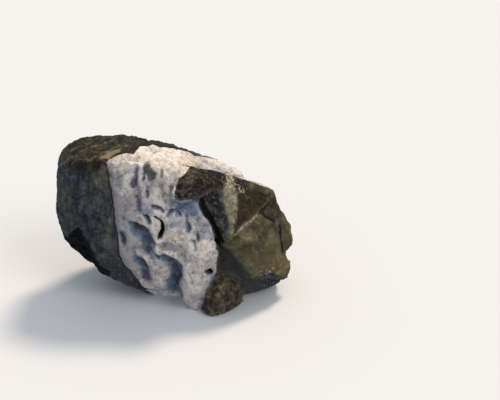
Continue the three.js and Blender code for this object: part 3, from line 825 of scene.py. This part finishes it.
# painted shade: blue-grey deep in the cuts, in the bay under the nose, along the shade lines and in
# broad patches, less under painted light
hollow = rock.field("hollow") - 0.45 * swollen + 1.2 * (patchy - 0.5)
blueShade = rock.fade(hollow, -0.3, 2.2) + 0.8 * rock.fade(rock.field("bay"), -2, 6)
blueShade = blueShade + 0.8 * (1 - rock.fade(rock.field("shade"), 0.5, 4))
cloudy = rock.fade(rock.clouds(13, 9, 4, 0.6) - 0.3 * litChalk - 0.3 * onTop, 0.47, 0.62)
blueShade = blueShade + 0.5 * cloudy - 0.3 * litChalk
blueShade = rock.fade(blueShade, 0, 1.1)
chalk = rock.mix(blueShade * chalkShares["blue"], chalk, chalkColours["blue"])
pitted = rock.fade(specks - 0.25 * rock.fade(ridge, -0.1, 0.15), 0.56, 0.66)
pitted = pitted + rock.fade(rock.clouds(1.7, 8, 3, 0.6) - 0.1 * onTop, 0.6, 0.67)
inPits = pitted * (chalkShares["pits"] - 0.2 * litChalk)
chalk = rock.mix(inPits, chalk, chalkColours["dirtAndShade"])
# painted shade: the creases between the knobs darken, less on top
creases = rock.fade(ridge * -1, 0.12, 0.4) * (chalkShares["creases"] - 0.35 * onTop)
chalk = rock.mix(creases, chalk, chalkColours["dirtAndShade"])
# painted shade along the steep walls of the cuts
chalk = rock.mix(rock.field("wall") * chalkShares["wall"], chalk, chalkColours["wall"])
# painted shade: the insides of the narrow slits and holes go near black
chalk = rock.mix(rock.field("narrow"), chalk, chalkColours["slit"])

# the two stains under its top edge
stainEdge = rock.field("stains") + 7 * (rock.clouds(2.5, 6, 4, 0.7) - 0.5)
paleStain = rock.fade(specks, 0.4, 0.65)
stain = rock.mix(paleStain, chalkColours["stainDark"], chalkColours["stainPale"])
chalk = rock.mix((1 - rock.fade(stainEdge, 3, 5)) * chalkShares["stain"], chalk, stain)
smallStain = 1 - rock.fade(rock.field("smallStain") + 2 * (grainy - 0.5), 0.6, 2)
chalk = rock.mix(smallStain * chalkShares["stainBrown"], chalk, chalkColours["stainBrown"])

darkColours = {
    "night": rgb(46, 48, 51),
    "slate": rgb(74, 77, 80),
    "blue": rgb(44, 50, 60),
    "olive": rgb(96, 95, 85),
    "pale": rgb(136, 130, 110),
    "fleck": rgb(176, 170, 156),
    "top": rgb(33, 33, 26),
    "topPale": rgb(66, 63, 50),
    "tan": rgb(146, 129, 106),
    "brown": rgb(50, 43, 34),
    # painted shade in the break low on the left
    "pitch": rgb(4, 5, 6),
    "pitchFleck": rgb(52, 57, 64),
    "glint": rgb(168, 172, 178),
    "seam": rgb(62, 42, 28),
}
darkShares = {
    "blue": 0.5, "brown": 0.25, "fleck": 0.35, "topFleck": 0.4, "nearBand": 0.8, "tanBand": 0.8,
    "saddle": 0.8, "night": 0.6, "glint": 0.55, "seam": 0.9,
}

# dark rock: mottled, blue-black in the middle of its front, olive-brown to its left
leaning = rock.stretched((0, math.radians(-20), 0), (0.3, 0.2, 0.07))
streaky = rock.clouds(1, 12, 6, 0.68, place=leaning)
layer = rock.field("layer")
middle = rock.fade(layer + 16 * (patchy - 0.5), 8, 16) * (1 - rock.fade(layer, 22, 34))
coarse = rock.clouds(10, 15, 6, 0.7, bend=0.8)
shades = 0.45 * coarse + 0.25 * streaky + 0.3 * mottle - 0.03 * middle
dark = rock.ramp(shades, [
    (0.42, darkColours["night"]), (0.48, darkColours["slate"]),
    (0.54, darkColours["olive"]), (0.62, darkColours["pale"]),
])
darker = 1 - rock.fade(shades + 0.2 * (grainy - 0.5), 0.4, 0.54)
dark = rock.mix(middle * darker * darkShares["blue"], dark, darkColours["blue"])
besideCrack = 1 - rock.fade(layer, 0, 4)
dark = rock.mix(besideCrack * darkShares["brown"], dark, darkColours["brown"])
flecks = rock.fade(rock.clouds(1.2, 13, 2, 0.5), 0.64, 0.72)
dark = rock.mix(flecks * darkShares["fleck"], dark, darkColours["fleck"])

# its top: browner, with pale shell edges and a tan band where the chalk begins
top = rock.mix(rock.fade(mottle, 0.42, 0.62), darkColours["top"], darkColours["topPale"])
top = rock.mix(flecks * darkShares["topFleck"], top, darkColours["fleck"])
nearBand = rock.fade(rock.field("backEdge") + 3 * (patchy - 0.5), -10, -3)
top = rock.mix(nearBand * darkShares["nearBand"], top, darkColours["brown"])
tanBand = rock.field("tanBand") + 12 * (patchy - 0.5) + rock.fade(back, -30, -8) * 5
tanBand = 1 - rock.fade(tanBand, 1, 5)
top = rock.mix(tanBand * darkShares["tanBand"], top, darkColours["tan"])
saddle = 1 - rock.fade(rock.field("saddle") + 3 * (patchy - 0.5), 2, 5)
top = rock.mix(saddle * darkShares["saddle"], top, darkColours["brown"])
shellEdge = rock.field("shellEdges") + 3 * (grainy - 0.5) + 4 * (patchy - 0.5)
ahead = 1 - rock.fade(back, -22, 6)  # the lines on top fade out towards the back
onShell = (1 - rock.fade(shellEdge, -0.2, 0.8)) * (0.12 + 0.36 * ahead)
top = rock.mix(onShell, top, darkColours["tan"])
dark = rock.mix(onTop, dark, top)

# painted shade: the break low on its left goes near black; glints near its foot
notch = rock.fade(rock.field("notch") + 2 * (patchy - 0.5), -0.5, 0.5)
dark = rock.mix(notch, dark, rock.mix(flecks, darkColours["pitch"], darkColours["pitchFleck"]))
footShine = rock.fade(rock.field("shinyFoot") + 8 * (patchy - 0.5), -2, 4) * (1 - notch)
dark = rock.mix(footShine * darkShares["night"], dark, darkColours["night"])
glint = rock.fade(specks + 0.3 * mottle, 0.72, 0.84)
dark = rock.mix(footShine * glint * darkShares["glint"], dark, darkColours["glint"])

oliveColours = {
    "deep": rgb(74, 68, 50),
    "olive": rgb(93, 86, 65),
    "pale": rgb(120, 110, 82),
    "ochre": rgb(122, 106, 70),
    "patina": rgb(24, 21, 15),
    "rust": rgb(118, 78, 46),
    "slate": rgb(48, 48, 49),
    "ash": rgb(98, 95, 91),
    "frost": rgb(160, 160, 160),
    "cream": rgb(190, 180, 160),
    "crack": rgb(28, 26, 24),
    # painted shade in the crevice
    "crevice": rgb(20, 19, 20),
    "facet": rgb(24, 21, 14),
    "facetPale": rgb(72, 64, 46),
    "darkFace": rgb(44, 38, 31),
    # painted highlight on the narrow facet
    "facetHighlight": rgb(166, 158, 134),
    "nose": rgb(34, 33, 32),
    "noseBrown": rgb(62, 58, 52),
    "nosePale": rgb(134, 128, 118),
    # painted shade under the overhang
    "under": rgb(54, 55, 58),
    "underPale": rgb(92, 91, 88),
    "broken": rgb(48, 50, 54),
    "brokenPale": rgb(150, 150, 148),
    "lump": rgb(46, 41, 36),
    "lumpBrown": rgb(84, 74, 62),
    "lumpPale": rgb(140, 126, 108),
    "vein": rgb(180, 156, 142),
}
oliveShares = {
    "ochre": 0.6, "slate": 0.35, "facet": 0.95, "darkFace": 0.85, "frost": 0.65, "worn": 0.35,
    "nose": 0.85, "rust": 0.8, "specks": 0.2, "under": 0.9, "broken": 0.8, "vein": 0.65,
    "chips": 0.8, "edges": 0.3, "crevice": 0.95,
}

# olive rock: plain faces with dark cracks, a dark rind on its brow and pale chips on its edges
olive = rock.ramp(rock.clouds(12, 21, 6, 0.62, bend=0.4), [
    (0.4, oliveColours["deep"]), (0.5, oliveColours["olive"]), (0.62, oliveColours["pale"]),
])
low = (1 - rock.fade(height + 14 * (patchy - 0.5), 34, 66)) * rock.fade(across, 56, 80)
olive = rock.mix(low * oliveShares["ochre"], olive, oliveColours["ochre"])
smudges = rock.fade(rock.clouds(7, 23, 3, 0.5), 0.58, 0.7)
olive = rock.mix(smudges * oliveShares["slate"], olive, oliveColours["slate"])
mainFacet = rock.fade(rock.field("mainFacet") + 2 * (patchy - 0.5), -1, 1.5)
facet = rock.mix(mottle, oliveColours["facet"], oliveColours["facetPale"])
olive = rock.mix(mainFacet * oliveShares["facet"], olive, facet)
# painted shade: the small facet by the right crack is darkened
darkFace = rock.fade(rock.field("darkFace") + 3 * (patchy - 0.5), -1, 1.5)
olive = rock.mix(darkFace * oliveShares["darkFace"], olive, oliveColours["darkFace"])
slate = rock.mix(rock.fade(patchy, 0.44, 0.6), oliveColours["slate"], oliveColours["ash"])
frosted = rock.fade(rock.clouds(2, 27, 5, 0.7), 0.55, 0.64)
slate = rock.mix(frosted * oliveShares["frost"], slate, oliveColours["frost"])
leftFace = rock.fade(rock.field("leftFace") + 3 * (patchy - 0.5), -1, 1)
olive = rock.mix(leftFace, olive, slate)

# the rind on its brow, paler and rusty on the nose
onBrow = rock.fade(rock.field("brow") + 6 * (patchy - 0.5), -1, 2.5)
worn = rock.fade(mottle, 0.5, 0.64)
patina = rock.mix(worn * oliveShares["worn"], oliveColours["patina"], oliveColours["olive"])
onNose = 1 - rock.fade(across, 16, 26)
nose = rock.ramp(rock.clouds(3.4, 29, 5, 0.7), [
    (0.42, oliveColours["nose"]), (0.54, oliveColours["noseBrown"]),
    (0.66, oliveColours["nosePale"]),
])
patina = rock.mix(onNose * oliveShares["nose"], patina, nose)
rusty = rock.fade(rock.clouds(2.4, 24, 2, 0.5), 0.6, 0.66) * (1 - rock.fade(across, 14, 30))
patina = rock.mix(rusty * oliveShares["rust"], patina, oliveColours["rust"])
paleSpecks = rock.fade(specks, 0.6, 0.7)
patina = rock.mix(paleSpecks * oliveShares["specks"], patina, oliveColours["cream"])
olive = rock.mix(onBrow, olive, patina)

# the faces below it: a mottled painted highlight on the narrow facet, painted shade under the
# overhang, and broken along the low edge
narrowFacet = rock.fade(rock.field("narrowFacet") + 3 * (patchy - 0.5), -2, 1)
facetHighlight = rock.fade(rock.clouds(4, 28, 5, 0.7), 0.42, 0.56)
facetHighlight = narrowFacet * (0.2 + 0.6 * facetHighlight)
olive = rock.mix(facetHighlight, olive, oliveColours["facetHighlight"])
underFace = rock.fade(rock.field("underFace") + 1.2 * (patchy - 0.5), -0.4, 0.4)
under = rock.mix(mottle, oliveColours["under"], oliveColours["underPale"])
olive = rock.mix(underFace * oliveShares["under"], olive, under)
brokenEdge = rock.fade(rock.field("brokenEdge") + 3 * (patchy - 0.5), -1, 1)
brokenPale = rock.fade(grainy, 0.52, 0.62)
broken = rock.mix(brokenPale, oliveColours["broken"], oliveColours["brokenPale"])
olive = rock.mix(brokenEdge * oliveShares["broken"], olive, broken)
lump = rock.fade(rock.field("lump") + 2 * (patchy - 0.5), -0.8, 0.8)
lumpColour = rock.ramp(rock.clouds(5, 25, 6, 0.7), [
    (0.4, oliveColours["lump"]), (0.53, oliveColours["lumpBrown"]),
    (0.66, oliveColours["lumpPale"]),
])
olive = rock.mix(lump, olive, lumpColour)

# vein, cracks, chips, and worn edges that also carry a painted highlight
vein = rock.field("vein") + 2.4 * (grainy - 0.5) + 2.4 * (rock.clouds(5, 26, 3, 0.6) - 0.5)
vein = 1 - rock.fade(vein, 0.1, 1)
olive = rock.mix(vein * oliveShares["vein"], olive, oliveColours["vein"])
darkLine = rock.field("darkCracks") + 1.6 * (grainy - 0.5) + 1.6 * (patchy - 0.5)
olive = rock.mix(1 - rock.fade(darkLine, 0.3, 1.2), olive, oliveColours["crack"])
chips = rock.fade(rock.clouds(2, 22, 1, 0.5) - 0.045 * rock.field("paleEdges"), 0.52, 0.57)
olive = rock.mix(chips * oliveShares["chips"], olive, oliveColours["cream"])
# pale worn edges, partly a painted edge highlight
wornAndLitEdges = rock.fade(ridge, 0.12, 0.4)
olive = rock.mix(wornAndLitEdges * oliveShares["edges"], olive, oliveColours["pale"])

# where one rock ends and the next begins
waver = 2.4 * (rock.clouds(5, 31, 4, 0.6) - 0.5)
isOlive = rock.fade(rock.field("olive") + waver, -0.3, 0.3)
isChalk = rock.fade(rock.field("chalk") + waver, -0.3, 0.3)
colour = rock.mix(isOlive, dark, olive)
colour = rock.mix(isChalk, colour, chalk)
# painted shade: the crevice between the olive rock and the chalk goes near black
crevice = rock.field("crevice") + 1.6 * (patchy - 0.5)
creviceShade = 1 - rock.fade(crevice, 1.2, 2.8)
colour = rock.mix(creviceShade * oliveShares["crevice"], colour, oliveColours["crevice"])
seam = 1 - rock.fade(abs(rock.field("backEdge") + waver), 0.3, 1)
seam = seam * (1 - isOlive) * (1 - onTop)
colour = rock.mix(seam * darkShares["seam"], colour, darkColours["seam"])
rock.set("Base Color", colour)

surface = {
    "roughness": 0.64,
    "dull": 0.25,  # how much rougher it is from place to place
    "chalkDull": 0.15,
    "gloss": 0.25,  # how much smoother it is where it shines
    "specular": 0.12,
    "bumpStrength": 0.9,
    "bumpHeight": 1,
    "darkBumps": 0.35,
    "oliveBumps": 0.3,
    "chalkBumps": 0.4,
    "chalkPits": 0.5,
}
dull = surface["dull"] * rock.clouds(2.5, 41, 3, 0.6)
glossy = (footShine + notch * 0.2) * (1 - isChalk)
roughness = surface["roughness"] + dull + surface["chalkDull"] * isChalk
rock.set("Roughness", roughness - surface["gloss"] * glossy)
rock.set("Specular IOR Level", surface["specular"])

darkRelief = surface["darkBumps"] * rock.clouds(3, 42, 6, 0.65)
oliveRelief = surface["oliveBumps"] * rock.clouds(2, 43, 5, 0.65)
chalkRelief = surface["chalkBumps"] * grainy - surface["chalkPits"] * pitted
relief = darkRelief + isOlive * (oliveRelief - darkRelief)
relief = relief + isChalk * (chalkRelief - relief)
bump = {
    "Strength": surface["bumpStrength"],
    "Distance": surface["bumpHeight"] * millimetre,
    "Height": relief,
}
rock.set("Normal", rock.node("Bump", {}, bump, "Normal"))
print("material built:", len(rock.tree.nodes), "nodes")

stone.data.materials.clear()
stone.data.materials.append(rock.material)
stone.data.polygons.foreach_set("use_smooth", [True] * len(stone.data.polygons))
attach(stone, "root")
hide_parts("stone")

studio = {
    # turn is in degrees to the right of the camera, and rise in degrees up
    "lamps": {
        "key": {
            "turn": 145, "rise": 58, "strength": 2, "softness": 14, "colour": (1, 0.85, 0.66),
        },
        "fill": {
            "turn": 46, "rise": 40, "strength": 0.74, "softness": 30, "colour": (1, 0.97, 0.93),
        },
    },
    "skyColour": (0.46, 0.5, 0.56, 1),
    "groundColour": (0.26, 0.29, 0.33, 1),
    "horizon": 0.3,  # how far above and below the horizon the two blend
    "floorColour": rgb(232, 232, 232),
    "floorRoughness": 0.9,
    "floorReach": 3,
}

for name, settings in studio["lamps"].items():
    lamp = bpy.data.objects.new(name, bpy.data.lights.new(name, "SUN"))
    lamp.data.energy = settings["strength"]
    lamp.data.color = settings["colour"]
    lamp.data.angle = math.radians(settings["softness"])
    rise, turn = math.radians(90 - settings["rise"]), math.radians(settings["turn"])
    lamp.rotation_euler = (rise, 0, turn)
    bpy.context.collection.objects.link(lamp)

sky = bpy.data.worlds.new("sky")
sky.use_nodes = True
dome = Nodes(sky.node_tree, "Background")
upward = dome.node("SeparateXYZ", {}, {0: dome.node("TexCoord", {}, {}, "Generated")}, "Z")
skyShare = dome.fade(upward, -studio["horizon"], studio["horizon"])
light = dome.mix(skyShare, studio["groundColour"], studio["skyColour"])
dome.set("Color", light)
dome.set("Strength", 1)
bpy.context.scene.world = sky
bpy.context.scene.view_settings.view_transform = "Standard"

reach = studio["floorReach"]
corners = [(-reach, -reach, 0), (reach, -reach, 0), (reach, reach, 0), (-reach, reach, 0)]
floorMesh = bpy.data.meshes.new("floor")
floorMesh.from_pydata(corners, [], [(0, 1, 2, 3)])
floor = bpy.data.objects.new("floor", floorMesh)
floorFinish = Finish("paleFloor")
floorFinish.set("Base Color", studio["floorColour"])
floorFinish.set("Roughness", studio["floorRoughness"])
floorMesh.materials.append(floorFinish.material)
floor.visible_diffuse = False  # its bounce and shine would light the shaded front of the stone
floor.visible_glossy = False
bpy.context.collection.objects.link(floor)

view = {
    "tilt": 25, "distance": 1.1, "target": (0.0634, 0, 0.0766), "lens": 94.29, "sensor": 36,
}
camera = bpy.data.objects.new("camera", bpy.data.cameras.new("camera"))
tilt = math.radians(view["tilt"])
camera.data.sensor_width = view["sensor"]
camera.data.lens = view["lens"]
offset = view["distance"] * Vector((0, -math.cos(tilt), math.sin(tilt)))
camera.location = Vector(view["target"]) + offset
camera.rotation_euler = (math.pi / 2 - tilt, 0, 0)
bpy.context.collection.objects.link(camera)
bpy.context.scene.camera = camera
print("studio set")
